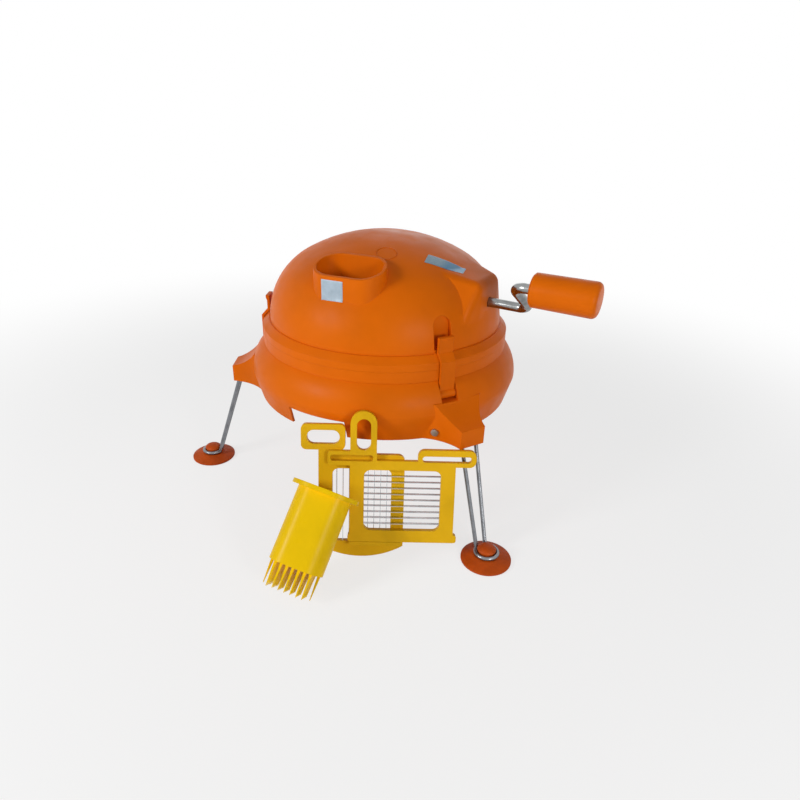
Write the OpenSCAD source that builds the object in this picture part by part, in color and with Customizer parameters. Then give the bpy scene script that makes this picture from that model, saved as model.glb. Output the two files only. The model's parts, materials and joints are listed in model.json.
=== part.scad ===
// Hand-cranked rotary vegetable dicer on three suction legs, with its pusher and two cutting frames.
// Millimetres, +Z up. The origin is on the table, under the axis of the rotor.
// The feed chute is at the front (-Y) and the crank leaves the cover to +X.

/* [Cover] */
// Outer radius of the rim where cover and body meet
rim_r = 167; // [163:0.5:172]
// Height of the parting plane above the table
seam_z = 221; // [217:1:228]
// Height of the cover's rim band, from the parting plane to the foot of the dome
band_h = 17; // [14:0.5:22]
// Distance from the rim in to the foot of the dome
dome_in = 10; // [6:0.5:12]
// Radius of the dome's rounded shoulder
shoulder_r = 96; // [84:1:102]
// Height of the dome above the rim band
dome_h = 112; // [106:1:118]
// Flat step between the dome and the sloping edge of the rim
ledge_w = 2; // [1:0.5:3]
// Thickness of the moulded walls
wall = 3.5; // [3:0.1:4.2]
// Height of the spigot that drops into the body
spigot_h = 8; // [5:0.5:10]
// Radial gap between the spigot and the body
spigot_gap = 0.4; // [0.2:0.05:0.8]

/* [Feed chute] */
// Turn of the chute away from the front, in degrees
front_turn = 8; // [0:1:10]
// Distance of the chute from the rotor axis
chute_r = 112; // [106:1:116]
// Outer width of the chute across the front
chute_w = 90; // [80:1:94]
// Outer depth of the chute, towards the axis
chute_d = 54; // [48:1:58]
// Height of the chute's rim over its centre
chute_top = 329; // [318:1:332]
// Forward slope of the chute's rim, in degrees
chute_tilt = 16.7; // [8:0.1:22]
// Running gap between the chute and the knife below it
knife_gap = 2.5; // [1.5:0.1:4]

/* [Crank] */
// Height of the crank shaft above the table
crank_z = 281; // [276:1:286]
// Diameter of the crank rod
rod_d = 12; // [10:0.5:14]
// Offset of the grip from the shaft
throw = 63; // [55:1:75]
// Angle of the crank arm from straight up, towards the front, in degrees
arm_angle = 52; // [30:1:80]
// Distance from the crank hood to the bend at the end of the shaft
shaft_out = 54; // [46:1:65]
// Distance that the arm leans back towards the machine
arm_lean = 10; // [4:1:16]
// Radius of the two bends, at the middle of the rod
bend_r = 13; // [11:0.5:16]
// Length of the grip
grip_len = 74; // [65:1:85]
// Diameter of the grip
grip_d = 40; // [34:1:44]
// Distance from the arm to the grip
grip_start = 24; // [20:1:30]
// Distance from the rim in to the end face of the hood over the crank
hood_in = 17; // [13:1:20]
// Height of the hood above the crank shaft
hood_rise = 31; // [28:1:38]
// Width of the hood where it runs into the dome
hood_w = 118; // [100:1:124]
// Rounding of the hood's edges
hood_r = 14; // [10:0.5:16]
// Wall of the crank bush
bush_wall = 4; // [3:0.5:5]
// Radial clearance of every running fit
run_gap = 0.06; // [0.03:0.01:0.09]

/* [Gears] */
// Teeth on the crank pinion
pinion_teeth = 12; // [12:12]
// Teeth on the crown gear of the rotor
crown_teeth = 36; // [36:36]
// Cone distance of the outer end of the teeth
cone_out = 52; // [48:0.5:54]
// Face width of the teeth
face_w = 15; // [11:0.5:17]
// Height of a tooth above its pitch line
addendum = 1.5; // [1.3:0.1:1.6]
// Depth of a tooth below its pitch line
dedendum = 2.7; // [2.4:0.1:3]
// Play between the flanks
backlash = 0.9; // [0.8:0.05:1.2]

/* [Rotor] */
// Distance from the rim in to the edge of the slicing disc
rotor_in = 23; // [19:1:27]
// Height of the disc's underside above the table
rotor_z = 205; // [204:0.5:207]
// Thickness of the disc
rotor_t = 4; // [3:0.5:5]
// Radius of the rotor hub
hub_r = 20; // [18:0.5:23]
// Diameter of the spindle
spindle_d = 12; // [10:0.5:13]
// Thickness of the slices, from the disc up to the knife's edge
slice_t = 8.5; // [7:0.5:9]
// Thickness of the knife
knife_t = 2; // [1.5:0.1:2.5]
// Width of the slot behind the knife
slot_w = 26; // [22:1:30]

/* [Body] */
// Height of the body's lip below the parting plane
lip_h = 14; // [12:0.5:16]
// Overhang of the belly beyond the rim
belly_out = 17; // [14:0.5:20]
// Height of the belly's widest line above the table
belly_z = 168; // [164:1:172]
// Distance that the skirt draws in from the belly to its lower edge
skirt_in = 9; // [6:0.5:12]
// Height of the skirt's lower edge above the table
skirt_z = 136; // [130:1:140]
// Height of the deck that carries the spindle and the cutting frames
deck_z = 182; // [180:0.5:184]
// Turn of the opening in the skirt away from the front, in degrees
notch_turn = 3; // [0:1:8]
// Width of the opening in the skirt
notch_w = 79; // [56:1:84]
// Height of the opening in the skirt
notch_h = 24; // [18:1:28]

/* [Ears and legs] */
// Reach of an ear beyond the belly
ear_out = 31; // [28:0.5:36]
// Width of an ear at its tip
ear_w = 33; // [31:0.5:37]
// Height of the ear's upright sides
apron_h = 24; // [22:1:27]
// Diameter of the leg wire
leg_d = 5; // [4:0.25:5.5]
// Spread of the two wires of a leg inside the ear
leg_spread = 22; // [20:0.5:23]
// Distance from an ear's tip out to the middle of its foot
foot_out = 47; // [40:1:56]
// Radius of a suction foot
cup_r = 31; // [28:0.5:34]
// Radius of the button that holds the leg on its foot
button_r = 11.5; // [10.5:0.5:12.5]

/* [Latches] */
// Turn of the latches from the ears, in degrees
latch_turn = -3.5; // [-6:0.5:6]
// Width of a latch
latch_w = 20; // [17:0.5:22]
// Thickness of a latch
latch_t = 3.5; // [3:0.25:4.5]
// Gap between a latch and the rim
latch_gap = 1.2; // [1:0.1:2]
// Height of the latch pivot above the table
pivot_z = 190; // [188:0.5:193]
// Diameter of the latch pin
pin_d = 5; // [4:0.25:5.5]
// Height of the latch's tip above the parting plane
latch_top = 38; // [34:1:42]

/* [Cutting frames] */
// Thickness of each cutting frame
frame_t = 7; // [5:0.5:8]
// Pitch of the cutting blades and wires
grid_pitch = 7.5; // [7:0.1:8]
// Number of blades or wires in each frame
grid_n = 9; // [6:1:9]
// Thickness of a blade
blade_t = 0.6; // [0.4:0.1:1]
// Backward lean of the standing frames, in degrees
lean = 14; // [10:0.5:16]
// Turn of the standing frames from the front, in degrees
frame_yaw = 30; // [27:1:33]
// Gap between the two standing frames
frame_gap = 0.4; // [0.2:0.1:1]

/* [Pusher] */
// Width of the pusher's body
pusher_w = 64; // [56:1:72]
// Depth of the pusher's body
pusher_d = 43; // [38:1:46]
// Length of the pusher's body
pusher_len = 91; // [80:1:100]
// Overhang of the pusher's flange
flange_over = 8; // [6:0.5:10]
// Length of the spikes
spike_len = 28; // [22:1:32]
// Pitch of the spikes
spike_pitch = 7; // [6.5:0.1:8]
// Lean of the pusher against the frames, in degrees
pusher_lean = 42; // [38:1:48]
// Turn of the pusher about its own axis, in degrees
pusher_spin = 20; // [10:1:30]
// Place of the pusher's foot along the frames
pusher_along = -92; // [-100:1:-80]

/* [Hidden] */
$fn = 96;

orange = "#e2700c";
yellow = "#e8b81c";
steel = "#c8ccd0";
grey_steel = "#8a9096";
white_nylon = "#e6e4dc";

leg_azimuth = [-150, -30, 90];
latch_azimuth = [for (a = leg_azimuth) a + latch_turn];
front_azimuth = -90 + front_turn;
far = 400;
overlap = 0.2;
seat_gap = 0.3;

// Radii that follow the rim
dome_r = rim_r - dome_in;
rotor_r = rim_r - rotor_in;
belly_r = rim_r + belly_out;
skirt_r = belly_r - skirt_in;
ear_r = belly_r + ear_out;
foot_r = ear_r + foot_out;
hood_x = rim_r - hood_in;
shaft_reach = hood_x + shaft_out;

// Dome section: a cap arc that runs into the shoulder arc
spring_z = seam_z + band_h;
dome_a = dome_r - shoulder_r;
cap_r = (dome_a * dome_a + dome_h * dome_h - shoulder_r * shoulder_r) / (2 * (dome_h - shoulder_r));
cap_z = spring_z + dome_h - cap_r;
join_angle = atan2(dome_a, spring_z - cap_z);
rim_slope = rim_r - dome_r - ledge_w;

// Crank drive: both pitch cones meet at one apex on the rotor axis
rod_r = rod_d / 2;
pinion_angle = atan2(pinion_teeth, crown_teeth);
crown_angle = 90 - pinion_angle;
cone_in = cone_out - face_w;
bracket_x = cone_out + 14;
bracket_t = 8;
housing_x = hood_x - 43;
shaft_play = 0.6;
collar_w = 8;
shaft_start = cone_in * cos(pinion_angle) - 5;
pin_r = 1.5;
pinion_hub_r = 11;
clip_room = 6;
clip_depth = 10;
clip_r = rod_r + 3.4;

// Rotor stack, from the deck upwards
disc_top = rotor_z + rotor_t;
knife_top = disc_top + slice_t;
chute_bottom = knife_top + knife_gap;
bush_r = spindle_d / 2 + 3;
hub_top = rotor_z + 41;
web_t = 6;
knife_in = chute_r - 50;
knife_out = min(chute_r + 34, rotor_r - 2);
screw_r = 2;
knife_screw_y = -13;
gear_screw_ring = 15;

// Body section
lip_z = seam_z - lip_h;
lip_in = rim_r - wall - 0.5;
lip_step = 1;
lip_drop = lip_z - belly_z;
belly_arc = (lip_drop * lip_drop + pow(belly_out + lip_step, 2)) / (2 * (belly_out + lip_step));
belly_mid = belly_r - belly_arc;
deck_t = 4;
deck_boss_r = 16;
deck_boss_h = 14;
rib_h = 5;
frame_w = 127;
frame_h = 102;
frame_window_w = 91;
frame_window_h = 76;
apron_z = skirt_z + apron_h;
apron_lift = 1;

// Ears: hollow flanks that run into the skirt, and a hollow roof that rises to the belly
flank_x = ear_r + 8;
flank_meet = skirt_r - 2;
flank_r = (flank_x * flank_x + ear_w * ear_w / 4 - flank_meet * flank_meet) / (2 * flank_meet - ear_w);
flank_y = ear_w / 2 + flank_r;
roof_arc = 60;
roof_tilt = 14;
screw_turn = 40;

// Legs: each wire runs from a socket in the ear to a ring round the neck of the foot
leg_r = leg_d / 2;
socket_top = apron_z + 3;
socket_r = ear_r - 15;
ear_screw_d = 5;
ear_screw_len = 9;
cup_edge = 3;
neck_z = 9;
neck_r = button_r - 1;
ring_r = neck_r + leg_r + 0.3;
ring_z = neck_z + leg_r + 0.3;
ring_open = 150;

// Latch section
latch_in = rim_r + latch_gap;
latch_out = latch_in + latch_t;
pivot_r = (latch_in + latch_out) / 2;
hook_gap = 0.6;
hook_line = rim_r + spring_z - rim_slope + hook_gap * sqrt(2);
tab_in = dome_r + ledge_w + 0.5;
tab_out = tab_in + latch_t;
tab_z = seam_z + latch_top;
barrel_r = pin_d / 2 + 3;
pocket_gap = 1.5;
pocket_w = latch_w + 2 * pocket_gap;
pocket_in = pivot_r - barrel_r - pocket_gap;
pocket_out = latch_out + 10;
pocket_z = pivot_z - barrel_r - pocket_gap;
pin_seat = 3;
scoop_w = latch_w + 4;
scoop_r = dome_r - 11;
scoop_top = spring_z + 42;

// Standing frames: the upright loop of the blade frame leans on the belly
loop_top = 184.5;
frame_lift = frame_t * sin(lean);
frame_azimuth = frame_yaw - 90;
frame_foot = belly_mid + belly_arc * cos(lean) + seat_gap + loop_top * sin(lean) - frame_gap * cos(lean);
seat_v = 22.5;
corner_r = 8;
wire_side = [-74.5, 28];
wire_top = 130;
wire_bow = 14.2;
wire_window = [[wire_side[0] + 16.5, wire_bow + 5.5], [wire_side[1] - 15.5, wire_top - 17.5]];
blade_side = [-37, 88];
blade_top = 125;
blade_window = [[blade_side[0] + 17, seat_v + 15], [blade_side[1] - 17, blade_top - 11.5]];
wire_hold = 6;
blade_hold = 9;

// Pusher: its flange leans on the front of the standing frames
lean_dir = [0, sin(pusher_lean), cos(pusher_lean)];
flange_t = 5;
pusher_wall = 3;
spike_r = 2.4;
spike_tip = 0.6;

// Points of an arc in the radial section, with the angle taken from +Z outwards
function arc(c, r, a0, a1, n) =
    [for (i = [0:n]) let (a = a0 + (a1 - a0) * i / n) [c[0] + r * sin(a), c[1] + r * cos(a)]];

// Oval with straight sides, w along the second axis and d along the first
function oval(d, w) =
    concat(arc([0, (w - d) / 2], d / 2, -90, 90, 24), arc([0, (d - w) / 2], d / 2, 90, 270, 24));

// Rectangle with round corners, from one corner to the opposite one
function round_rect(a, b, r) = concat(
    arc([b[0] - r, b[1] - r], r, 0, 90, 6),
    arc([b[0] - r, a[1] + r], r, 90, 180, 6),
    arc([a[0] + r, a[1] + r], r, 180, 270, 6),
    arc([a[0] + r, b[1] - r], r, 270, 360, 6)
);

function dome_arcs(skin) = concat(
    arc([0, cap_z], cap_r - skin, 0, join_angle, 8),
    [for (p = arc([dome_a, spring_z], shoulder_r - skin, join_angle, 90, 12)) p]
);

// Radial-vertical outline, given the width w across the radius
module across(w) {
    rotate([90, 0, 0]) translate([0, 0, -w / 2]) linear_extrude(w) children();
}

// Shapes drawn along Z, laid along the crank shaft from x
module along_shaft(x) {
    translate([x, 0, crank_z]) rotate([0, 90, 0]) children();
}

module at_chute() {
    rotate([0, 0, front_azimuth]) translate([chute_r, 0, 0]) children();
}

// Wire from a to b
module wire(a, b, r) {
    d = b - a;
    translate(a)
        rotate([0, acos(d[2] / norm(d)), atan2(d[1], d[0])])
            cylinder(r = r, h = norm(d));
}

// Bevel gear about +Z with its apex at the origin, with a tooth, or a gap, in the +X direction
module bevel_teeth(teeth, angle, first) {
    pitch = 360 * cone_out * sin(angle) / teeth * PI / 180;
    sink = dedendum + 0.8;
    function corner(cone, height, side) =
        let (s = cone / cone_out)
        let (half = pitch / 4 - backlash / 4 - height * tan(20))
        [
            cone * sin(angle) + height * s * cos(angle), side * half * s,
            cone * cos(angle) - height * s * sin(angle)
        ];
    points = [
        for (cone = [cone_in, cone_out])
            for (q = [[-sink, -1], [-sink, 1], [addendum, 1], [addendum, -1]])
                corner(cone, q[0], q[1])
    ];
    faces = [[3, 2, 1, 0], [4, 5, 6, 7], [1, 5, 4, 0], [2, 6, 5, 1], [3, 7, 6, 2], [0, 4, 7, 3]];
    for (i = [0:teeth - 1])
        rotate([0, 0, (i + first) * 360 / teeth]) polyhedron(points, faces);
}

// Point of a gear's section at a cone distance, below or above the pitch cone
function cone_point(angle, cone, height) =
    let (s = cone / cone_out)
    [cone * sin(angle) + height * s * cos(angle), cone * cos(angle) - height * s * sin(angle)];

module cover_outside() {
    rotate_extrude()
        polygon(concat(
            dome_arcs(0),
            [[dome_r + ledge_w, spring_z], [rim_r, spring_z - rim_slope], [rim_r, seam_z], [0, seam_z]]
        ));
    hood(0);
}

// Rounded hood over the crank shaft: an upright end, sloping flanks and a roof that runs into the dome
module hood(skin) {
    r = hood_r - skin;
    end_x = hood_x - hood_r;
    roof_x = hood_x - 70;
    roof_y = hood_w / 2 - hood_r - 5;
    roof_z = cap_z + sqrt(pow(cap_r - hood_r - 2, 2) - roof_x * roof_x - roof_y * roof_y);
    hull()
        for (side = [-1, 1]) {
            translate([end_x, side * (hood_w / 5), crank_z + hood_rise - hood_r]) sphere(r, $fn = 32);
            translate([end_x, side * (hood_w / 4), crank_z - 31]) sphere(r, $fn = 32);
            translate([end_x - 4, side * (hood_w / 2 - hood_r), crank_z - 13]) sphere(r, $fn = 32);
            translate([roof_x, side * roof_y, roof_z]) sphere(r, $fn = 32);
        }
}

module cover_hollow() {
    in_r = rim_r - wall;
    slope_in = rim_r + spring_z - rim_slope - wall * sqrt(2);
    rotate_extrude()
        polygon(concat(
            dome_arcs(wall),
            [[dome_r - wall, slope_in - dome_r + wall], [in_r, slope_in - in_r]],
            [[in_r, seam_z - 1], [0, seam_z - 1]]
        ));
    hood(wall + 0.5);
}

module chute_tube(inset, low) {
    difference() {
        at_chute()
            translate([0, 0, low])
                linear_extrude(chute_top + chute_d - low)
                    polygon(oval(chute_d - 2 * inset, chute_w - 2 * inset));
        if (inset == 0)
            at_chute()
                translate([0, 0, chute_top])
                    rotate([0, chute_tilt, 0])
                        translate([-chute_w, -chute_w, 0]) cube(2 * chute_w);
    }
}

// Finger recess above each latch, with an upright back that runs out into the dome
module scoop(extra) {
    foot_z = spring_z + 4 - extra;
    for (a = latch_azimuth)
        rotate([0, 0, a])
            translate([scoop_r - extra, 0, 0])
                rotate([90, 0, 90])
                    linear_extrude(far / 8)
                        polygon(concat(
                            arc([0, scoop_top - scoop_w / 2], scoop_w / 2 + extra, -90, 90, 16),
                            [[scoop_w / 2 + extra, foot_z], [-scoop_w / 2 - extra, foot_z]]
                        ));
}

module shaft_bracket() {
    translate([bracket_x, -16, crank_z - 2]) cube([bracket_t, 32, dome_h]);
    along_shaft(bracket_x) cylinder(r = 16, h = bracket_t);
    along_shaft(housing_x) cylinder(r = rod_r + bush_wall + 6, h = hood_x - housing_x - 3);
}

module dome_cover() {
    spigot_r = lip_in - spigot_gap;
    color(orange)
        difference() {
            union() {
                difference() {
                    cover_outside();
                    difference() {
                        cover_hollow();
                        scoop(wall);
                        shaft_bracket();
                    }
                }
                rotate_extrude()
                    polygon([
                        [spigot_r - wall, seam_z - spigot_h], [spigot_r, seam_z - spigot_h],
                        [spigot_r, seam_z], [rim_r - wall + overlap, seam_z],
                        [rim_r - wall + overlap, seam_z + 4], [spigot_r - wall, seam_z + 4]
                    ]);
                chute_tube(0, chute_bottom);
            }
            chute_tube(wall, chute_bottom - 1);
            scoop(0);
            along_shaft(bracket_x - 1) cylinder(r = rod_r + run_gap, h = bracket_t + 2);
            along_shaft(housing_x - 1) cylinder(r = rod_r + bush_wall, h = hood_x - wall - housing_x + 1);
            along_shaft(housing_x) cylinder(r = rod_r + shaft_play, h = far / 4);
        }
}

module crank_bush() {
    bush_len = hood_x - wall - housing_x;
    color("#6e5a3a")
        along_shaft(housing_x)
            difference() {
                cylinder(r = rod_r + bush_wall, h = bush_len);
                translate([0, 0, -1]) cylinder(r = rod_r + run_gap, h = bush_len + 2);
            }
}

// Bent rod, drawn flat with the shaft along x and the throw along y
module crank_rod() {
    turn = 90 + atan2(arm_lean, throw);
    cut = bend_r * tan(turn / 2);
    arm = norm([arm_lean, throw]) - 2 * cut;
    grip_end = shaft_reach - arm_lean + grip_start + grip_len - clip_room - 2;
    bent_r = rod_r + 0.1;
    run_in = 1;
    color(steel)
        difference() {
            translate([0, 0, crank_z])
                rotate([90 + arm_angle, 0, 0]) {
                    translate([shaft_start, 0, 0]) rotate([0, 90, 0])
                        cylinder(r = rod_r, h = shaft_reach - cut - shaft_start + run_in);
                    translate([shaft_reach - cut, bend_r, 0])
                        rotate([0, 0, -90])
                            rotate_extrude(angle = turn) translate([bend_r, 0]) circle(bent_r);
                    translate([shaft_reach, 0, 0]) rotate([0, 0, turn])
                        translate([cut - run_in, 0, 0]) rotate([0, 90, 0])
                            cylinder(r = rod_r, h = arm + 2 * run_in);
                    translate([shaft_reach - arm_lean + cut, throw - bend_r, 0])
                        rotate([0, 0, 90]) rotate_extrude(angle = turn) translate([bend_r, 0]) circle(bent_r);
                    translate([shaft_reach - arm_lean + cut - run_in, throw, 0]) rotate([0, 90, 0])
                        cylinder(r = rod_r, h = grip_end - shaft_reach + arm_lean - cut + run_in);
                }
            pinion_pin_at(rod_r + 2);
        }
}

// Shapes drawn along Z, laid along the grip from the face nearest the arm
module along_grip(x) {
    translate([0, 0, crank_z])
        rotate([90 + arm_angle, 0, 0])
            translate([shaft_reach - arm_lean + grip_start + x, throw, 0])
                rotate([0, 90, 0]) children();
}

module crank_grip() {
    edge = 6;
    mouth = 2;
    color(orange)
        along_grip(0)
            rotate_extrude()
                polygon(concat(
                    [[rod_r + run_gap, 0], [grip_d / 2 - mouth - 0.5, 0], [grip_d / 2 - 0.5, mouth]],
                    [for (p = arc([grip_d / 2 - edge, grip_len - edge], edge, 90, 0, 6)) p],
                    [[0, grip_len], [0, grip_len - clip_room]],
                    [[clip_r + 0.6, grip_len - clip_room], [clip_r + 0.6, grip_len - clip_room - clip_depth]],
                    [[rod_r + run_gap, grip_len - clip_room - clip_depth]]
                ));
}

module grip_clip() {
    color(grey_steel)
        along_grip(grip_len - clip_room - clip_depth + seat_gap)
            difference() {
                cylinder(r = clip_r, h = 1.5);
                translate([0, 0, -1]) cylinder(r = rod_r, h = 4);
            }
}

module drive_pinion() {
    hub_end = bracket_x - seat_gap;
    back = cone_point(pinion_angle, cone_out, -dedendum);
    front = cone_point(pinion_angle, cone_in, -dedendum);
    color(white_nylon)
        difference() {
            along_shaft(0)
                difference() {
                    union() {
                        rotate_extrude()
                            polygon([
                                [0, front[1]], front, back, [back[0], back[1] + 3],
                                [pinion_hub_r, back[1] + 3], [pinion_hub_r, hub_end], [0, hub_end]
                            ]);
                        bevel_teeth(pinion_teeth, pinion_angle, 0);
                    }
                    cylinder(r = rod_r, h = far);
                }
            pinion_pin_at(pinion_hub_r + 1);
        }
}

// Cross pin through the pinion's hub and the rod
module pinion_pin_at(half) {
    along_shaft(bracket_x - seat_gap - 6)
        translate([-half, 0, 0]) rotate([0, 90, 0]) cylinder(r = pin_r, h = 2 * half);
}

module pinion_pin() {
    color(grey_steel) pinion_pin_at(pinion_hub_r - 0.5);
}

module shaft_collar() {
    color(grey_steel)
        along_shaft(housing_x - seat_gap - collar_w)
            difference() {
                cylinder(r = rod_r + 5, h = collar_w);
                translate([0, 0, -1]) cylinder(r = rod_r, h = collar_w + 2);
            }
}

// Slicing disc with the raised knife seat, the slot for the slices and the ramp that presses them down
module rotor_disc() {
    seat_h = slice_t - knife_t;
    color(white_nylon)
        difference() {
            union() {
                translate([0, 0, rotor_z]) cylinder(r = rotor_r, h = rotor_t);
                translate([0, 0, rotor_z]) cylinder(r = hub_r, h = hub_top - rotor_z);
                rotate([0, 0, 90])
                    translate([knife_in, 0, disc_top])
                        rotate([90, 0, 90])
                            linear_extrude(knife_out - knife_in)
                                polygon([[-48, -1], [0, -1], [0, seat_h], [-20, seat_h]]);
                rotate([0, 0, 90])
                    translate([knife_in, 0, rotor_z])
                        rotate([90, 0, 90])
                            linear_extrude(knife_out - knife_in)
                                polygon([[-56, 1], [0, 1], [0, -slice_t / 2], [-6, -slice_t / 2]]);
            }
            translate([0, 0, rotor_z - 1]) cylinder(r = bush_r, h = far);
            rotate([0, 0, 90])
                translate([knife_in, 0, rotor_z - slice_t])
                    cube([knife_out - knife_in, slot_w, 4 * slice_t]);
            knife_screw_places() translate([0, 0, -seat_h]) cylinder(r = screw_r, h = seat_h + 1);
            gear_screw_places() translate([0, 0, -12]) cylinder(r = screw_r, h = 13);
        }
}

// Places of the knife screws, on the seat under the knife
module knife_screw_places() {
    spacing = (knife_out - knife_in - 24) / 2;
    for (i = [0:2])
        rotate([0, 0, 90])
            translate([knife_in + 12 + i * spacing, knife_screw_y, knife_top - knife_t])
                children();
}

// Places of the gear screws, on top of the rotor hub
module gear_screw_places() {
    for (i = [0:2])
        rotate([0, 0, 60 + 120 * i]) translate([gear_screw_ring, 0, hub_top]) children();
}

module rotor_knife() {
    color(steel)
        difference() {
            rotate([0, 0, 90])
                translate([knife_in, 0, knife_top - knife_t])
                    rotate([90, 0, 90])
                        linear_extrude(knife_out - knife_in)
                            polygon([[-19, 0], [3, 0], [9, knife_t - 0.3], [9, knife_t], [-19, knife_t]]);
            knife_screw_places() {
                translate([0, 0, -1]) cylinder(r = screw_r, h = knife_t + 2);
                cylinder(r1 = screw_r, r2 = screw_r + knife_t, h = knife_t + 0.001);
            }
        }
}

module knife_screws() {
    color(grey_steel)
        knife_screw_places() {
            translate([0, 0, knife_t - slice_t]) cylinder(r = screw_r, h = slice_t - knife_t);
            cylinder(r1 = screw_r, r2 = screw_r + knife_t, h = knife_t);
        }
}

module crown_gear() {
    back = cone_point(crown_angle, cone_out, -dedendum);
    front = cone_point(crown_angle, cone_in, -dedendum);
    base = hub_top - crank_z;
    color(white_nylon)
        difference() {
            translate([0, 0, crank_z]) {
                rotate_extrude()
                    polygon([
                        [0, base], [hub_r, base], [back[0], -back[1] - 6], [back[0], -back[1]],
                        [front[0], -front[1]], [front[0] - 3, base + web_t], [0, base + web_t]
                    ]);
                rotate([180, 0, 0]) bevel_teeth(crown_teeth, crown_angle, 0.5);
            }
            translate([0, 0, hub_top - 1]) cylinder(r = spindle_d / 2 + 1, h = far);
            gear_screw_places() translate([0, 0, -1]) cylinder(r = screw_r, h = web_t + 2);
        }
}

module gear_screws() {
    color(grey_steel)
        gear_screw_places() {
            translate([0, 0, -12]) cylinder(r = screw_r, h = 12 + web_t);
            translate([0, 0, web_t]) cylinder(r = 1.5 * screw_r, h = 2.4);
        }
}

module rotor_bushes() {
    bush_h = 13;
    color("#6e5a3a")
        for (z = [rotor_z, hub_top - bush_h])
            translate([0, 0, z])
                difference() {
                    cylinder(r = bush_r, h = bush_h);
                    translate([0, 0, -1]) cylinder(r = spindle_d / 2 + run_gap, h = bush_h + 2);
                }
}

module spindle() {
    boss_bottom = deck_z - deck_t - deck_boss_h / 2;
    boss_top = deck_z + deck_boss_h;
    color(steel) {
        translate([0, 0, boss_bottom - 9]) cylinder(d = spindle_d, h = hub_top + web_t + 5 - boss_bottom + 9);
        translate([0, 0, boss_top]) cylinder(r = bush_r + 1, h = rotor_z - seat_gap - boss_top);
    }
}

module spindle_nut() {
    boss_bottom = deck_z - deck_t - deck_boss_h / 2;
    color(grey_steel)
        translate([0, 0, boss_bottom - 7])
            difference() {
                cylinder(d = spindle_d * 1.8, h = 7, $fn = 6);
                translate([0, 0, -1]) cylinder(d = spindle_d, h = 9, $fn = 96);
            }
}

module spindle_clip() {
    color(grey_steel)
        translate([0, 0, hub_top + web_t + seat_gap])
            difference() {
                cylinder(r = spindle_d / 2 + 4.5, h = 1.6);
                translate([0, 0, -1]) cylinder(d = spindle_d, h = 4);
            }
}

module body_section(skin) {
    arc_c = [belly_mid, belly_z];
    arc_end = acos(lip_drop / belly_arc);
    polygon(concat(
        [[0, skirt_z - skin]],
        [[skirt_r - skin * 1.02 - skin * (belly_r - skirt_r) / (belly_z - skirt_z), skirt_z - skin]],
        arc(arc_c, belly_arc - skin, 90, arc_end, 10),
        skin == 0
            ? [[rim_r, lip_z], [rim_r, seam_z], [0, seam_z]]
            : [[lip_in, lip_z + skin], [lip_in, seam_z + 1], [0, seam_z + 1]]
    ));
}

// Plan of an ear, with hollow flanks that run into the skirt
module ear_plan(inset) {
    root_w = inset > 0 ? ear_w + 23 : 2 * flank_meet * sin(atan2(flank_y, flank_x));
    difference() {
        translate([belly_r - 50, -root_w / 2]) square([ear_r - belly_r + 50 - inset, root_w]);
        for (side = [-1, 1])
            translate([flank_x, side * flank_y]) circle(flank_r + inset);
    }
}

// Radial outline of an ear, with a hollow roof that rises to the belly
module ear_side(inset) {
    low = inset > 0 ? skirt_z - 1 : skirt_z + apron_lift;
    roof_c = [ear_r + roof_arc * sin(roof_tilt), apron_z + roof_arc * cos(roof_tilt)];
    roof = arc(roof_c, roof_arc + inset, 180 + roof_tilt, 235, 10);
    polygon(concat(
        [[belly_r - 60, low], [ear_r + 1, low], [ear_r + 1, roof[0][1]]],
        roof,
        [[belly_r - 60, roof[10][1]]]
    ));
}

module ear(inset) {
    intersection() {
        translate([0, 0, skirt_z - 2]) linear_extrude(lip_z - skirt_z) ear_plan(inset);
        across(far) ear_side(inset);
    }
}

// Rails and bosses inside the body
module deck() {
    seat_in = chute_r - frame_h / 2;
    translate([0, 0, deck_z - deck_t]) cylinder(r = belly_r - wall + 0.5, h = deck_t);
    translate([0, 0, deck_z - deck_t - deck_boss_h / 2])
        cylinder(r = deck_boss_r, h = deck_boss_h * 1.5 + deck_t);
    for (a = [0:60:300])
        rotate([0, 0, a + front_turn])
            translate([deck_boss_r - wall, -wall / 2, deck_z - deck_t - rib_h])
                cube([belly_r - deck_boss_r, wall, rib_h + 1]);
    rotate([0, 0, front_azimuth]) {
        translate([seat_in - wall - 0.5, -frame_w / 2, deck_z - 1]) cube([wall, frame_w, 11]);
        for (side = [-1, 1])
            translate([seat_in + 6, side * (frame_w / 2 + 0.5 + wall / 2) - wall / 2, deck_z - 1])
                cube([frame_h - 26, wall, 11]);
    }
}

// Block that holds the hinge of a latch, behind the lip
module latch_block() {
    translate([pocket_in - wall, -pocket_w / 2 - wall, pocket_z - wall])
        cube([pocket_out - pocket_in + wall, pocket_w + 2 * wall, lip_z - pocket_z + wall]);
}

// Room for the barrel of a latch, and for its strap in front of the lip
module latch_pocket() {
    strap_in = rim_r + pocket_gap / 5;
    translate([pocket_in, -pocket_w / 2, pocket_z])
        cube([pocket_out - pocket_in, pocket_w, pivot_z + barrel_r + pocket_gap - pocket_z]);
    translate([strap_in, -pocket_w / 2, pivot_z])
        cube([pocket_out - strap_in, pocket_w, seam_z - pivot_z]);
}

module leg_wires(r, up) {
    for (side = [-1, 1]) {
        top = [socket_r, side * leg_spread / 2, socket_top];
        low = [foot_r - ring_r * cos(180 - ring_open), side * ring_r * sin(180 - ring_open), ring_z];
        wire(top, top + (low - top) * up, r);
    }
}

// Seat of the cross screw in the left flank of an ear, with z out of the flank
module at_ear_screw(a) {
    rotate([0, 0, a])
        translate([flank_x, -flank_y, skirt_z + apron_h / 2])
            rotate([0, 0, screw_turn]) translate([0, flank_r, 0]) rotate([90, 0, 0]) children();
}

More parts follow.
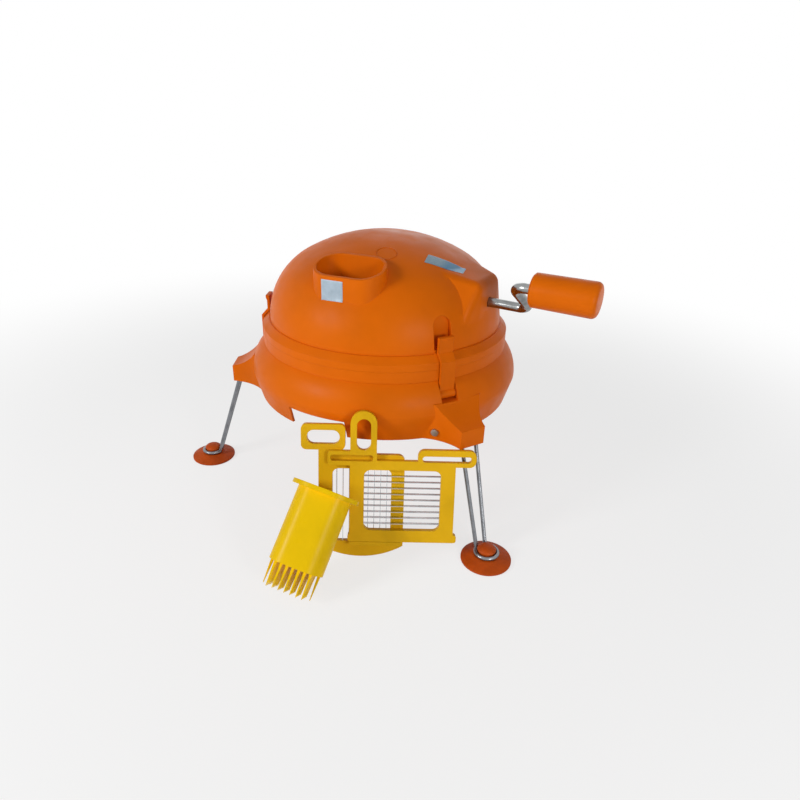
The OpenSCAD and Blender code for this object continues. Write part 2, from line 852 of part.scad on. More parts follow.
module lower_body() {
    color(orange)
        difference() {
            union() {
                difference() {
                    union() {
                        rotate_extrude() body_section(0);
                        for (a = leg_azimuth)
                            rotate([0, 0, a]) ear(0);
                    }
                    rotate_extrude() body_section(wall);
                    for (a = leg_azimuth)
                        rotate([0, 0, a]) ear(wall);
                }
                intersection() {
                    rotate_extrude() body_section(0);
                    deck();
                }
                for (a = latch_azimuth)
                    intersection() {
                        rotate_extrude() body_section(0);
                        rotate([0, 0, a]) latch_block();
                    }
                for (a = leg_azimuth) {
                    intersection() {
                        rotate([0, 0, a]) ear(0);
                        rotate([0, 0, a]) leg_wires(leg_r + 3, 0.3);
                    }
                    intersection() {
                        rotate([0, 0, a]) ear(0);
                        at_ear_screw(a)
                            translate([0, 0, -ear_screw_len - 2])
                                cylinder(d = 3 * ear_screw_d, h = ear_screw_len + 5);
                    }
                }
            }
            for (a = latch_azimuth)
                rotate([0, 0, a]) {
                    latch_pocket();
                    translate([pivot_r, 0, pivot_z]) rotate([90, 0, 0])
                        cylinder(d = pin_d, h = pocket_w + 2 * pin_seat, center = true);
                }
            for (a = leg_azimuth)
                rotate([0, 0, a]) leg_wires(leg_r, 0.3);
            for (a = leg_azimuth)
                at_ear_screw(a) {
                    cylinder(d = 1.8 * ear_screw_d + 0.6, h = 30);
                    translate([0, 0, -ear_screw_len]) cylinder(r = ear_screw_d / 2, h = ear_screw_len + 1);
                }
            rotate([0, 0, notch_turn - 90])
                translate([skirt_r / 2, -notch_w / 2, skirt_z - 1])
                    cube([skirt_r, notch_w, notch_h + 1]);
            rotate([0, 0, front_azimuth])
                translate([chute_r - frame_window_h / 2, -frame_window_w / 2, deck_z - 40])
                    cube([frame_window_h, frame_window_w, 41]);
            translate([0, 0, deck_z - 40]) cylinder(d = spindle_d, h = 80);
        }
}

module latch(a) {
    color(orange)
        rotate([0, 0, a])
            difference() {
                union() {
                    across(latch_w)
                        polygon([
                            [latch_in, pivot_z], [latch_in, hook_line - latch_in],
                            [tab_in, hook_line - tab_in], [tab_in, tab_z], [tab_out + 1.5, tab_z],
                            [tab_out + 1.5, tab_z - 3], [tab_out, tab_z - 7],
                            [tab_out, hook_line + latch_t * sqrt(2) - tab_out],
                            [latch_out, hook_line + latch_t * sqrt(2) - latch_out], [latch_out, pivot_z]
                        ]);
                    translate([pivot_r, 0, pivot_z]) rotate([90, 0, 0])
                        cylinder(r = barrel_r, h = latch_w, center = true);
                }
                translate([pivot_r, 0, pivot_z]) rotate([90, 0, 0])
                    cylinder(r = pin_d / 2 + run_gap, h = latch_w + 2, center = true);
            }
}

module latch_1() { latch(latch_azimuth[0]); }
module latch_2() { latch(latch_azimuth[1]); }
module latch_3() { latch(latch_azimuth[2]); }

module latch_pins() {
    color(steel)
        for (a = latch_azimuth)
            rotate([0, 0, a])
                translate([pivot_r, 0, pivot_z]) rotate([90, 0, 0])
                    cylinder(d = pin_d, h = pocket_w + 2 * pin_seat, center = true);
}

// Leg of bent wire: two sloping runs and a ring round the neck of the foot
module leg(a) {
    color(grey_steel)
        rotate([0, 0, a]) {
            leg_wires(leg_r, 1);
            translate([foot_r, 0, ring_z])
                rotate([0, 0, -ring_open])
                    rotate_extrude(angle = 2 * ring_open) translate([ring_r, 0]) circle(leg_r);
            for (side = [-1, 1])
                translate([foot_r, 0, ring_z])
                    rotate([0, 0, side * ring_open]) translate([ring_r, 0, 0]) sphere(leg_r + 0.2);
        }
}

module leg_1() { leg(leg_azimuth[0]); }
module leg_2() { leg(leg_azimuth[1]); }
module leg_3() { leg(leg_azimuth[2]); }

module suction_cup(a) {
    button_z = ring_z + leg_r + 0.3;
    color("#c84a0c")
        rotate([0, 0, a])
            translate([foot_r, 0, 0])
                rotate_extrude()
                    polygon(concat(
                        [[0, 3.5], [cup_r * 0.5, 3], [cup_r - 5, 0], [cup_r - 1, 0]],
                        [[cup_r, 1], [cup_r, cup_edge]],
                        [[cup_r * 0.62, neck_z - 2], [ring_r + leg_r, neck_z - 0.5], [neck_r, neck_z]],
                        [[neck_r, button_z], [button_r - 0.5, button_z], [button_r, button_z + 1]],
                        arc([0, button_z + 1], button_r, 80, 0, 8) * [[1, 0], [0, 0.45]] +
                            [for (i = [0:8]) [0, (button_z + 1) * 0.55]]
                    ));
}

module suction_cup_1() { suction_cup(leg_azimuth[0]); }
module suction_cup_2() { suction_cup(leg_azimuth[1]); }
module suction_cup_3() { suction_cup(leg_azimuth[2]); }

// Cross screws of the ears, with the head in the left flank
module ear_screws() {
    color(steel)
        for (a = leg_azimuth)
            at_ear_screw(a) {
                translate([0, 0, -ear_screw_len]) cylinder(r = ear_screw_d / 2, h = ear_screw_len);
                cylinder(d = 1.8 * ear_screw_d, h = 3);
            }
}

// Standing frames: x runs to the right and y up along the frame, z towards the viewer
module on_frames() {
    rotate([0, 0, frame_yaw])
        translate([0, -frame_foot, frame_lift])
            rotate([90 - lean, 0, 0]) children();
}

module wire_frame() {
    left = wire_side[0];
    right = wire_side[1];
    top = wire_top;
    bow = wire_bow;
    bow_r = (pow((right - left) / 2, 2) + bow * bow) / (2 * bow);
    bow_a = asin((right - left) / 2 / bow_r);
    color(yellow)
        on_frames()
            difference() {
                union() {
                    translate([0, 0, -frame_t])
                        linear_extrude(frame_t)
                            difference() {
                                union() {
                                    polygon(concat(
                                        arc([(left + right) / 2, bow_r], bow_r, 180 + bow_a, 180 - bow_a, 16),
                                        arc([right - corner_r, top - corner_r], corner_r, 90, 0, 6),
                                        [[left, top]]
                                    ));
                                    polygon(round_rect([left, top - 20], [left + 17, top + 10], 2));
                                    polygon(round_rect([left - 20.5, top + 5], [left + 31.5, top + 36], 6));
                                }
                                polygon(round_rect(wire_window[0], wire_window[1], corner_r));
                                polygon(round_rect([left - 13.5, top + 12], [left + 25, top + 29], corner_r));
                            }
                    translate([left + 37, seat_v - 5, -frame_t / 2])
                        cube([right - left - 40, 4.7, frame_t / 2 + frame_gap + frame_t]);
                }
                wires(0.02);
            }
}

module wires(play) {
    middle = (wire_window[0] + wire_window[1]) / 2;
    span = wire_window[1] - wire_window[0];
    for (i = [0:grid_n - 1])
        translate([middle[0] + (i - (grid_n - 1) / 2) * grid_pitch, middle[1], -frame_t / 2])
            cube([blade_t + play, span[1] + 2 * wire_hold, frame_t - 2 + play], center = true);
}

module cutting_wires() {
    color(steel) on_frames() wires(0);
}

module blade_frame() {
    left = blade_side[0];
    right = blade_side[1];
    bottom = seat_v;
    top = blade_top;
    color(yellow)
        on_frames()
            difference() {
                translate([0, 0, frame_gap])
                    linear_extrude(frame_t)
                        difference() {
                            union() {
                                polygon(round_rect([left, bottom], [right, top], 2));
                                polygon(round_rect([left - 2, bottom], [right + 4, bottom + 10], 3));
                                polygon(round_rect([left + 0.5, top - 12], [left + 31.5, loop_top], 15.4));
                                polygon(round_rect([left - 26, top - 6.5], [left + 32, top + 11], 4));
                                polygon(round_rect([right - 45, top - 6.5], [right + 24, top + 14], 8));
                            }
                            polygon(round_rect(blade_window[0], blade_window[1], corner_r));
                            polygon(round_rect([left + 8, top + 12.5], [left + 24.5, top + 50], 8.2));
                            polygon(round_rect([left - 22.5, top - 1], [left + 27.5, top + 6.5], 3));
                            polygon(round_rect([right - 39.5, top - 1], [right + 18.5, top + 6.5], 3.5));
                        }
                blades(0.02);
            }
}

module blades(play) {
    middle = (blade_window[0] + blade_window[1]) / 2;
    span = blade_window[1] - blade_window[0];
    for (i = [0:grid_n - 1])
        translate([middle[0], middle[1] + (i - (grid_n - 1) / 2) * grid_pitch, frame_gap + frame_t / 2])
            cube([span[0] + 2 * blade_hold, blade_t + play, frame_t - 2 + play], center = true);
}

module cutting_blades() {
    color(steel) on_frames() blades(0);
}

// How far the flange reaches towards the frames, seen square to them
function flange_reach() =
    let (n = [cos(frame_azimuth) * cos(lean), sin(frame_azimuth) * cos(lean), sin(lean)])
    let (e = [cos(pusher_spin), sin(pusher_spin) * cos(pusher_lean), -sin(pusher_spin) * sin(pusher_lean)])
    let (f = [-sin(pusher_spin), cos(pusher_spin) * cos(pusher_lean), -cos(pusher_spin) * sin(pusher_lean)])
    let (r = pusher_d / 2 + flange_over)
    (pusher_w - pusher_d) / 2 * abs(n * e) + r * norm([n * e, n * f]);

// Height of the spiked face's middle, with the rearmost spikes on the table
function pusher_z() =
    let (back = [for (p = spike_places()) p[0] * sin(pusher_spin) + p[1] * cos(pusher_spin)])
    (max(back) + spike_tip) * sin(pusher_lean) + spike_len * cos(pusher_lean);

function spike_places() = [
    for (i = [-5:5], j = [-3:3])
        let (x = i * spike_pitch, y = j * spike_pitch)
        let (inside = (pusher_w - pusher_d) / 2, reach = pusher_d / 2 - spike_r - 0.5)
        if (norm([max(abs(x) - inside, 0), y]) < reach) [x, y]
];

// The pusher leans on the frames with its flange
module on_pusher() {
    n = [cos(frame_azimuth) * cos(lean), sin(frame_azimuth) * cos(lean), sin(lean)];
    u = [cos(frame_yaw), sin(frame_yaw), 0];
    top = pusher_len * lean_dir + [0, 0, pusher_z()];
    away = frame_foot * cos(lean) + frame_lift * sin(lean) + flange_reach() + seat_gap;
    distance = (away - top * n) / cos(lean);
    flat = u * pusher_along + distance * [cos(frame_azimuth), sin(frame_azimuth), 0];
    translate(flat + [0, 0, pusher_z()])
        rotate([-pusher_lean, 0, 0])
            rotate([0, 0, pusher_spin]) children();
}

// Oval pusher, open at its flange, with a bed of spikes that clears the grid
module pusher() {
    d = pusher_d;
    w = pusher_w;
    color(yellow)
        on_pusher() {
            difference() {
                union() {
                    rotate([0, 0, 90]) linear_extrude(pusher_len) polygon(oval(d, w));
                    rotate([0, 0, 90])
                        translate([0, 0, pusher_len - flange_t])
                            linear_extrude(flange_t) polygon(oval(d + 2 * flange_over, w + 2 * flange_over));
                }
                rotate([0, 0, 90])
                    translate([0, 0, 2 * pusher_wall])
                        linear_extrude(pusher_len) polygon(oval(d - 2 * pusher_wall, w - 2 * pusher_wall));
            }
            for (p = spike_places())
                translate([p[0], p[1], overlap]) rotate([180, 0, 45])
                    cylinder(r1 = spike_r, r2 = spike_tip, h = spike_len + overlap, $fn = 4);
        }
}

dome_cover();
crank_bush();
crank_rod();
drive_pinion();
pinion_pin();
shaft_collar();
crank_grip();
grip_clip();
rotor_disc();
crown_gear();
gear_screws();
rotor_knife();
knife_screws();
rotor_bushes();
spindle();
spindle_nut();
spindle_clip();
lower_body();
latch_1();
latch_2();
latch_3();
latch_pins();
leg_1();
leg_2();
leg_3();
suction_cup_1();
suction_cup_2();
suction_cup_3();
ear_screws();
pusher();
wire_frame();
cutting_wires();
blade_frame();
cutting_blades();
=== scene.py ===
import json
import math

import bpy
from mathutils import Matrix, Vector

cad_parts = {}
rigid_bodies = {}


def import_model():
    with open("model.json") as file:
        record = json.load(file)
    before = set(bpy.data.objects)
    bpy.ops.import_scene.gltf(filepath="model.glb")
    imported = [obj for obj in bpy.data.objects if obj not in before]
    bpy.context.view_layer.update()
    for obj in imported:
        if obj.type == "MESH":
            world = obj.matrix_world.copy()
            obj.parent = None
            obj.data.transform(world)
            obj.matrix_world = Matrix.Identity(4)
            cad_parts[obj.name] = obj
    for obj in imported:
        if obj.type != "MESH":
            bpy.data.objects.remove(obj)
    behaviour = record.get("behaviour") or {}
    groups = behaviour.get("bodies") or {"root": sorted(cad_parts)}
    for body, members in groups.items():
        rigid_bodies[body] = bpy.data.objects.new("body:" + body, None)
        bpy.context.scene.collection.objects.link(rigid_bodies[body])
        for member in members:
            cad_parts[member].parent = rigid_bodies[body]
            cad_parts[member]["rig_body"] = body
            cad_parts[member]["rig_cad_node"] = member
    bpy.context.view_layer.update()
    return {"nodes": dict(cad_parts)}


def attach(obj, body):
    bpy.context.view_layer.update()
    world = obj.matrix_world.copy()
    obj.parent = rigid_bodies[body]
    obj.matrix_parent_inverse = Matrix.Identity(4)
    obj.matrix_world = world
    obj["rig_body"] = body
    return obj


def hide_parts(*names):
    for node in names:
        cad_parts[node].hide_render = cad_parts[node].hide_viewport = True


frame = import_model()

bl_info = {
    "name": "Rotary Dicer Finish",
    "version": (1, 0, 0),
    "blender": (4, 5, 0),
    "location": "View3D > Sidebar > Dicer",
    "description": "Finishes, bare labels, stage and camera for a hand-cranked vegetable dicer",
    "category": "Object",
}

MM = 0.001

# Vertices closer than this are merged in a finished copy
MERGE = 0.004 * MM
# Edges that turn by less than this many degrees look smooth
SMOOTH = 32
# Gap between the cover and what is laid on it
LIFT = 0.02 * MM
# Labels and mould mark: round on their edges, and the angles in degrees
# above which an edge is rounded and below which it looks smooth
SHEET_ROUND = 0.2 * MM
SHEET_CORNER = 50
SHEET_SMOOTH = 40

# Chute label: the way it faces in degrees, and its middle along that way, beside it and up
LABEL_TURN = -82
LABEL_OUT = 139.4 * MM
LABEL_SIDE = -10.4 * MM
LABEL_UP = 304.5 * MM

# Plate by the crank: its middle above the dome, its length and its width seen from above
PLATE_MIDDLE = Vector((0.0983, -0.0247, 0.345))
PLATE_LONG = Vector((0.0462, 0.0352, 0))
PLATE_WIDE = Vector((-0.0036, 0.0306, 0))
# Cuts that round each corner: depth, and lean towards the plate's length
PLATE_CORNER = ((1.6 * MM, 1.0), (2.1 * MM, 0.42), (2.1 * MM, 2.4))
# Where the pale rim begins and is full, in shares of the length and the width from the middle
RIM_ALONG = (0.435, 0.450)
RIM_ACROSS = (0.360, 0.385)
# Where the grey field starts to turn blue and is blue, in shares of the length from the middle
BLUE_ALONG = (-0.10, 0.06)

# Mould mark: its middle above the dome, the width of its ring and its height
MARK_MIDDLE = Vector((0.0362, -0.0625, 0.352))
MARK_RING = 1.2 * MM
MARK_HEIGHT = 0.5 * MM

# Lamps: name, place, size and power in watts
LAMPS = (
    ("key_light", (-0.66, -1.38, 0.80), 0.40, 12),
    ("front_light", (1.38, -0.86, 0.58), 0.36, 7.5),
    ("back_light", (-0.45, 1.4, 0.85), 0.9, 2.6),
)
LAMP_AIM = Vector((0, 0, 0.2))
# Strength of the sky's light on the dicer, where the camera and reflections see 1
SKY_LIGHT = 0.20
# Floor: radius, drop below the feet and grey of its paper
FLOOR_RADIUS = 9
FLOOR_DROP = 0.2 * MM
FLOOR_GREY = 0.86
# Shadows on the floor fade out between these distances from the axis,
# and up to the nearer one the floor glows by this share
FADE_NEAR = 0.45
FADE_FAR = 1.3
FADE_LEAST = 0.72

# Camera: place and turn fitted to the photograph, and width of its sensor in millimetres
SENSOR = 36
CAMERA = Matrix((
    (0.86956, -0.24337, 0.42969, 0.40704),
    (0.49291, 0.37494, -0.78515, -0.69346),
    (0.02997, 0.89453, 0.44600, 0.50430),
    (0, 0, 0, 1)))


def paint(red, green, blue):
    """A colour of 0 to 255 steps as Blender's linear values."""
    steps = [v / 255 for v in (red, green, blue)]
    return tuple(v / 12.92 if v <= 0.04045 else ((v + 0.055) / 1.055) ** 2.4 for v in steps)


class DicerColours(bpy.types.PropertyGroup):
    """Colours of the dicer's finishes."""

    shell: bpy.props.FloatVectorProperty(
        name="Shell", description="Orange of the cover, body, latches and grip",
        subtype="COLOR", size=3, min=0, max=1, default=paint(228, 108, 5))
    foot: bpy.props.FloatVectorProperty(
        name="Feet", description="Deeper orange of the rubber suction feet",
        subtype="COLOR", size=3, min=0, max=1, default=paint(196, 80, 14))
    cutter: bpy.props.FloatVectorProperty(
        name="Cutting frames", description="Yellow of the two cutting frames",
        subtype="COLOR", size=3, min=0, max=1, default=paint(234, 182, 24))
    pusher: bpy.props.FloatVectorProperty(
        name="Pusher", description="Lemon yellow of the pusher",
        subtype="COLOR", size=3, min=0, max=1, default=paint(244, 200, 10))
    inner: bpy.props.FloatVectorProperty(
        name="Inner plastic", description="Off-white of the rotor and the gears",
        subtype="COLOR", size=3, min=0, max=1, default=paint(224, 220, 208))
    print_tint: bpy.props.FloatVectorProperty(
        name="Plate tint", description="Blue tint at the right end of the bare plate",
        subtype="COLOR", size=3, min=0, max=1, default=paint(62, 122, 158))


class DicerSizes(bpy.types.PropertyGroup):
    """Sizes of the dicer's labels, soft edges and camera."""

    edge: bpy.props.FloatProperty(
        name="Soft edge", description="Radius at which moulded edges catch the light",
        unit="LENGTH", min=0.0001, max=0.005, default=1.1 * MM)
    label_width: bpy.props.FloatProperty(
        name="Chute label width", description="Width of the bare label on the chute",
        unit="LENGTH", min=0.01, max=0.032, default=28 * MM)
    label_height: bpy.props.FloatProperty(
        name="Chute label height", description="Height of the bare label on the chute",
        unit="LENGTH", min=0.01, max=0.026, default=24.5 * MM)
    sheet: bpy.props.FloatProperty(
        name="Label thickness", description="Thickness of both bare labels",
        unit="LENGTH", min=0.0002, max=0.002, default=0.6 * MM)
    mark_width: bpy.props.FloatProperty(
        name="Mould mark", description="Diameter of the round mould mark on the dome",
        unit="LENGTH", min=0.01, max=0.04, default=26 * MM)
    lens: bpy.props.FloatProperty(
        name="Lens", description="Focal length of the camera in millimetres",
        min=10, max=200, default=27.115)


def colours():
    """The scene's colour settings."""
    return bpy.context.scene.dicer_colours


def sizes():
    """The scene's size settings."""
    return bpy.context.scene.dicer_sizes


def only(piece):
    """Makes one object the whole selection."""
    bpy.ops.object.select_all(action="DESELECT")
    piece.select_set(True)
    bpy.context.view_layer.objects.active = piece


def finished_copy(node):
    """A merged copy of a CAD node, smooth where its faces meet gently, shown in its place."""
    body = frame["nodes"][node]["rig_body"]
    only(frame["nodes"][node])
    bpy.ops.object.duplicate()
    piece = bpy.context.view_layer.objects.active
    piece.name = node + "_finish"
    piece.data.name = node + "_finish"
    piece.parent = None
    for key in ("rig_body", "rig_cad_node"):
        if key in piece:
            del piece[key]
    only(piece)
    bpy.ops.object.mode_set(mode="EDIT")
    bpy.ops.mesh.select_all(action="SELECT")
    bpy.ops.mesh.remove_doubles(threshold=MERGE)
    bpy.ops.object.mode_set(mode="OBJECT")
    if piece.data.has_custom_normals:
        bpy.ops.mesh.customdata_custom_splitnormals_clear()
    bpy.ops.object.shade_smooth_by_angle(angle=math.radians(SMOOTH), keep_sharp_edges=False)
    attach(piece, body)
    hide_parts(node)
    return piece


def coat(piece, made):
    """Gives a piece its one material."""
    piece.data.materials.clear()
    piece.data.materials.append(made)


def dress(nodes, made):
    """Shows finished copies of the nodes in one material."""
    for node in nodes:
        coat(finished_copy(node), made)


class Finish:
    """Builds one material on Object coordinates, socket by socket."""

    def __init__(self, name):
        self.made = bpy.data.materials.new(name)
        self.made.use_nodes = True
        self.tree = self.made.node_tree
        self.shader = self.tree.nodes["Principled BSDF"]
        self.place = self.add("ShaderNodeTexCoord").outputs["Object"]

    def add(self, kind, links=(), **values):
        """A new node with its own settings, and links into its named sockets."""
        node = self.tree.nodes.new(kind)
        for key, value in values.items():
            setattr(node, key, value)
        for key, source in links:
            self.tree.links.new(source, node.inputs[key])
        return node

    def stretched(self, scale, turn=(0, 0, 0)):
        """Object coordinates drawn out along one way, for brushed or drawn metal."""
        node = self.add("ShaderNodeMapping", [("Vector", self.place)])
        node.inputs["Scale"].default_value = scale
        node.inputs["Rotation"].default_value = turn
        return node.outputs["Vector"]

    def noise(self, scale, detail=3.0, rough=0.5, place=None):
        """Cloudy values about 0.5, on Object coordinates unless a place is given."""
        node = self.add("ShaderNodeTexNoise", [("Vector", place or self.place)])
        node.inputs["Scale"].default_value = scale
        node.inputs["Detail"].default_value = detail
        node.inputs["Roughness"].default_value = rough
        return node.outputs["Fac"]

    def between(self, source, low, high, start=0.3, end=0.7):
        """Values from low to high, as the source goes from start to end."""
        node = self.add("ShaderNodeMapRange", [("Value", source)])
        node.inputs["From Min"].default_value = start
        node.inputs["From Max"].default_value = end
        node.inputs["To Min"].default_value = low
        node.inputs["To Max"].default_value = high
        return node.outputs["Result"]

    def ramp(self, source, stops):
        """Colours between the stops, each a place from 0 to 1 and a colour."""
        node = self.add("ShaderNodeValToRGB", [("Fac", source)])
        band = node.color_ramp
        while len(band.elements) < len(stops):
            band.elements.new(0.5)
        for element, (where, colour) in zip(band.elements, stops):
            element.position = where
            element.color = (*colour, 1)
        return node.outputs["Color"]

    def larger(self, first, second):
        """The larger of two values."""
        node = self.add("ShaderNodeMath", operation="MAXIMUM")
        self.tree.links.new(first, node.inputs[0])
        self.tree.links.new(second, node.inputs[1])
        return node.outputs["Value"]

    def size(self, source):
        """A value without its sign."""
        node = self.add("ShaderNodeMath", operation="ABSOLUTE")
        self.tree.links.new(source, node.inputs[0])
        return node.outputs["Value"]

    def share(self, middle, way):
        """How far a point lies from the middle along a way, 1 for the way's whole length."""
        step = self.add("ShaderNodeVectorMath", operation="SUBTRACT")
        self.tree.links.new(self.place, step.inputs[0])
        step.inputs[1].default_value = middle
        node = self.add("ShaderNodeVectorMath", operation="DOT_PRODUCT")
        self.tree.links.new(step.outputs["Vector"], node.inputs[0])
        node.inputs[1].default_value = way
        return node.outputs["Value"]

    def mix(self, share, first, second):
        """The first colour at a share of 0, and the second at 1."""
        node = self.add("ShaderNodeMix", data_type="RGBA")
        for key, source in (("Factor", share), ("A", first), ("B", second)):
            socket = [i for i in node.inputs if i.name == key and i.enabled][0]
            self.tree.links.new(source, socket)
        return [o for o in node.outputs if o.enabled][0]

    def relief(self, source, depth, strength, under=None):
        """Normals of a fine relief, on top of other normals if given."""
        node = self.add("ShaderNodeBump", [("Height", source)])
        node.inputs["Distance"].default_value = depth
        node.inputs["Strength"].default_value = strength
        if under:
            self.tree.links.new(under, node.inputs["Normal"])
        return node.outputs["Normal"]

    def soft_edges(self, radius):
        """Normals that round each edge by the radius."""
        node = self.add("ShaderNodeBevel", samples=6)
        node.inputs["Radius"].default_value = radius
        return node.outputs["Normal"]

    def give(self, **sockets):
        """Links sources into the shader's sockets."""
        for key, source in sockets.items():
            self.tree.links.new(source, self.shader.inputs[key.replace("_", " ")])

    def set(self, **sockets):
        """Sets even values on the shader's sockets."""
        for key, value in sockets.items():
            self.shader.inputs[key.replace("_", " ")].default_value = value


def shade(colour, by):
    """A colour made darker (below 1) or lighter (above 1)."""
    return tuple(min(1.0, v * by) for v in colour)


def moulded(name, colour, gloss, grain, cloud, edge):
    """Injection-moulded plastic: faint flow clouds, a fine spark grain, rubbed patches."""
    f = Finish(name)
    flow = f.noise(cloud, 4.0, 0.55)
    f.give(Base_Color=f.ramp(flow, [(0.32, shade(colour, 0.90)), (0.5, colour),
                                    (0.70, shade(colour, 1.07))]))
    worn = f.noise(46.0, 5.0, 0.6)
    f.give(Roughness=f.between(worn, gloss - 0.05, gloss + 0.09, 0.32, 0.68))
    speck = f.relief(f.noise(1500.0, 2.0, 0.5), grain, 0.55, f.soft_edges(edge))
    f.give(Normal=f.relief(f.noise(22.0, 1.0, 0.4), 0.4 * MM, 0.05, speck))
    f.set(IOR=1.48, Specular_IOR_Level=0.08)
    return f.made


def rubber(name, colour, edge):
    """Soft feet: dull, with fine pores and paler rubbed patches."""
    f = Finish(name)
    f.give(Base_Color=f.ramp(f.noise(70.0, 4.0, 0.6), [
        (0.30, shade(colour, 0.82)), (0.55, colour), (0.78, shade(colour, 1.12))]))
    f.give(Roughness=f.between(f.noise(120.0, 3.0), 0.44, 0.62))
    f.give(Normal=f.relief(f.noise(2200.0, 2.0), 0.08 * MM, 0.6, f.soft_edges(edge)))
    f.set(IOR=1.5, Specular_IOR_Level=0.18)
    return f.made


def drawn_steel(name, colour, gloss, scale, dark=0.78):
    """Drawn or ground steel: long fine lines, a little tarnish."""
    f = Finish(name)
    lines = f.noise(1.0, 3.0, 0.6, f.stretched(scale))
    tarnish = f.noise(55.0, 4.0, 0.6)
    f.give(Base_Color=f.ramp(tarnish, [(0.30, shade(colour, dark)), (0.52, colour),
                                       (0.75, shade(colour, 1.12))]))
    f.give(Roughness=f.between(lines, gloss - 0.05, gloss + 0.10))
    f.give(Normal=f.relief(lines, 0.02 * MM, 0.5))
    f.set(Metallic=1.0)
    return f.made


class DICER_OT_shell(bpy.types.Operator):
    """Finish the orange cover, body, latches and grip"""

    bl_idname = "dicer.shell"
    bl_label = "Orange shell"

    def execute(self, context):
        shell, edge = tuple(colours().shell), sizes().edge
        orange = moulded("orange_moulding", shell, 0.38, 0.06 * MM, 9.0, edge)
        dress(["dome_cover", "lower_body", "latch_1", "latch_2", "latch_3"],
              orange)
        handle = moulded("grip_moulding", shell, 0.35, 0.04 * MM, 16.0, edge * 2)
        dress(["crank_grip"], handle)
        return {"FINISHED"}


class DICER_OT_feet(bpy.types.Operator):
    """Finish the three suction feet"""

    bl_idname = "dicer.feet"
    bl_label = "Suction feet"

    def execute(self, context):
        made = rubber("foot_rubber", tuple(colours().foot), sizes().edge)
        dress(["suction_cup_1", "suction_cup_2", "suction_cup_3"], made)
        return {"FINISHED"}


class DICER_OT_cutters(bpy.types.Operator):
    """Finish the cutting frames and their wires and blades"""

    bl_idname = "dicer.cutters"
    bl_label = "Cutting frames"

    def execute(self, context):
        cutter, edge = tuple(colours().cutter), sizes().edge
        yellow = moulded("frame_moulding", cutter, 0.31, 0.04 * MM, 20.0, edge * 0.5)
        dress(["wire_frame", "blade_frame"], yellow)
        ground = drawn_steel("cutter_steel", paint(196, 198, 200), 0.22, (40, 400, 400))
        dress(["cutting_wires", "cutting_blades"], ground)
        return {"FINISHED"}


class DICER_OT_pusher(bpy.types.Operator):
    """Finish the spiked pusher"""

    bl_idname = "dicer.pusher"
    bl_label = "Pusher"

    def execute(self, context):
        pusher, edge = tuple(colours().pusher), sizes().edge
        lemon = moulded("pusher_moulding", pusher, 0.28, 0.04 * MM, 18.0, edge * 0.6)
        dress(["pusher"], lemon)
        return {"FINISHED"}


class DICER_OT_metal(bpy.types.Operator):
    """Finish the crank, the legs, the knife and the fittings"""

    bl_idname = "dicer.metal"
    bl_label = "Metal pieces"

    def execute(self, context):
        bright = drawn_steel("crank_steel", paint(146, 148, 148), 0.16, (40, 420, 420), 0.58)
        dress(["crank_rod"], bright)
        wire = drawn_steel("leg_steel", paint(132, 134, 138), 0.28, (420, 420, 24), 0.66)
        dress(["leg_1", "leg_2", "leg_3"], wire)
        blade = drawn_steel("knife_steel", paint(192, 194, 198), 0.24, (30, 500, 500))
        dress(["rotor_knife"], blade)
        plated = drawn_steel("fitting_steel", paint(176, 176, 178), 0.32, (160, 160, 160))
        dress(["spindle", "spindle_nut", "spindle_clip", "gear_screws", "knife_screws",
               "ear_screws", "latch_pins", "pinion_pin", "shaft_collar", "grip_clip"],
              plated)
        return {"FINISHED"}


class DICER_OT_drive(bpy.types.Operator):
    """Finish the rotor, the two gears and the bushes"""

    bl_idname = "dicer.drive"
    bl_label = "Rotor and gears"

    def execute(self, context):
        inner, edge = tuple(colours().inner), sizes().edge
        nylon = moulded("inner_nylon", inner, 0.46, 0.05 * MM, 14.0, edge * 0.5)
        dress(["rotor_disc", "crown_gear", "drive_pinion", "crank_bush"], nylon)
        bronze = drawn_steel("bush_bronze", paint(190, 150, 96), 0.36, (220, 220, 220))
        dress(["rotor_bushes"], bronze)
        return {"FINISHED"}


def lay_on(piece, target, from_above):
    """Drops a flat piece on the target along Z, or onto its nearest face."""
    only(piece)
    wrap = piece.modifiers.new("lay", "SHRINKWRAP")
    wrap.target = target
    if from_above:
        wrap.wrap_method = "PROJECT"
        wrap.use_project_z = True
        wrap.use_negative_direction = True
        wrap.use_positive_direction = False
    else:
        wrap.wrap_method = "NEAREST_SURFACEPOINT"
    wrap.offset = LIFT
    bpy.ops.object.modifier_apply(modifier=wrap.name)


def thicken(piece, thickness):
    """Gives a laid sheet its thickness outwards and a small round on its edges."""
    only(piece)
    wall = piece.modifiers.new("sheet", "SOLIDIFY")
    wall.thickness = thickness
    wall.offset = 1.0
    wall.use_even_offset = True
    bpy.ops.object.modifier_apply(modifier=wall.name)
    soft = piece.modifiers.new("edge", "BEVEL")
    soft.width = SHEET_ROUND
    soft.segments = 2
    soft.limit_method = "ANGLE"
    soft.angle_limit = math.radians(SHEET_CORNER)
    bpy.ops.object.modifier_apply(modifier=soft.name)
    bpy.ops.object.shade_smooth_by_angle(angle=math.radians(SHEET_SMOOTH))


def settle(piece, name):
    """Puts the piece's place into its mesh and names it."""
    only(piece)
    bpy.ops.object.transform_apply(location=True, rotation=True, scale=True)
    piece.name = name
    piece.data.name = name


